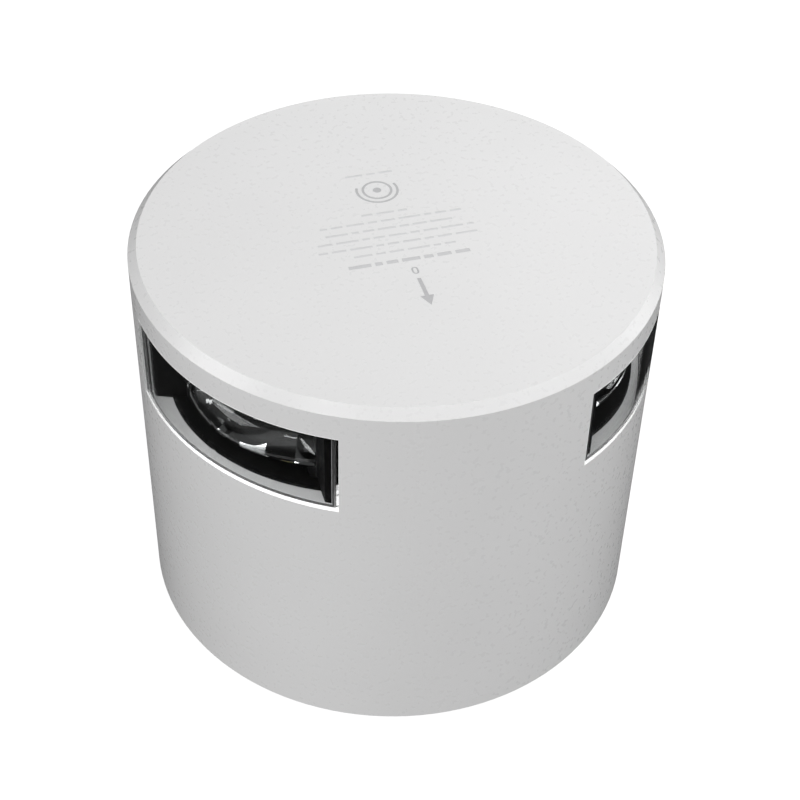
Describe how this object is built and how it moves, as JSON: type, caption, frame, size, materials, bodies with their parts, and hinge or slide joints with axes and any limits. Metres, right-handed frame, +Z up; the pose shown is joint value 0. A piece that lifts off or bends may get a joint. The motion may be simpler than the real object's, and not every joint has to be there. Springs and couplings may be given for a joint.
{
  "type": "masthead navigation light",
  "caption": "Sealed LED masthead light: a round white metal housing with flush clear windows round its front half, fixed from below.",
  "frame": {"origin": "centre of the base face, in the plane that the light stands on", "axes": "+Z up along the housing axis, -Y dead ahead (the middle of the lit arc), +X to port, -X to starboard"},
  "size_m": [0.098, 0.098, 0.0793],
  "materials": {
    "white_paint": "fine matt white powder coat on aluminium",
    "marking_grey": "flat light grey marking paint",
    "clear_acrylic": "polished clear acrylic",
    "black_seal": "black bonding silicone",
    "matt_black": "matt black, fine mould texture",
    "lens_acrylic": "polished optical acrylic",
    "black_plastic": "satin black moulding",
    "led_board_mask": "dark solder mask on a metal core",
    "thermal_rubber": "soft grey silicone",
    "led_ceramic": "white ceramic",
    "phosphor_silicone": "yellow phosphor under clear silicone",
    "stainless_steel": "turned stainless steel",
    "wire_insulation": "red and black wire insulation",
    "plain_aluminium": "milled, uncoated",
    "green_board": "green solder mask",
    "ferrite_grey": "moulded ferrite",
    "capacitor_can": "drawn can",
    "chip_black": "moulded epoxy",
    "terminal_green": "moulded nylon",
    "anodised_aluminium": "turned and anodised, satin",
    "black_rubber": "black nitrile rubber",
    "nickel_plated_brass": "nickel plated, turned",
    "grey_nylon": "light grey nylon"
  },
  "bodies": {
    "root": {"housing": "white_paint", "roof_marking": "marking_grey", "window_port": "clear_acrylic", "window_starboard": "clear_acrylic", "window_seal_port": "black_seal", "window_seal_starboard": "black_seal", "light_screen_port": "matt_black", "light_screen_starboard": "matt_black", "focus_lens_port": "lens_acrylic", "focus_lens_starboard": "lens_acrylic", "lens_holders_port": "black_plastic", "lens_holders_starboard": "black_plastic", "led_board_port": "led_board_mask", "led_board_starboard": "led_board_mask", "thermal_pad_port": "thermal_rubber", "thermal_pad_starboard": "thermal_rubber", "led_bases_port": "led_ceramic", "led_bases_starboard": "led_ceramic", "led_domes_port": "phosphor_silicone", "led_domes_starboard": "phosphor_silicone", "led_board_screws_port": "stainless_steel", "led_board_screws_starboard": "stainless_steel", "led_leads_port": "wire_insulation", "led_leads_starboard": "wire_insulation", "led_carrier": "plain_aluminium", "carrier_screws": "stainless_steel", "standoffs": "stainless_steel", "driver_board": "green_board", "driver_board_screws": "stainless_steel", "inductors": "ferrite_grey", "capacitors": "capacitor_can", "driver_chips": "chip_black", "terminal_block": "terminal_green", "terminal_screws": "stainless_steel", "base_plate": "anodised_aluminium", "base_o_ring": "black_rubber", "base_screws": "stainless_steel", "mounting_inserts": "stainless_steel", "gland_body": "nickel_plated_brass", "gland_washer": "black_rubber", "gland_lock_nut": "nickel_plated_brass", "gland_claw": "grey_nylon", "gland_seal": "black_rubber", "gland_nut": "nickel_plated_brass"}
  },
  "joints": []
}
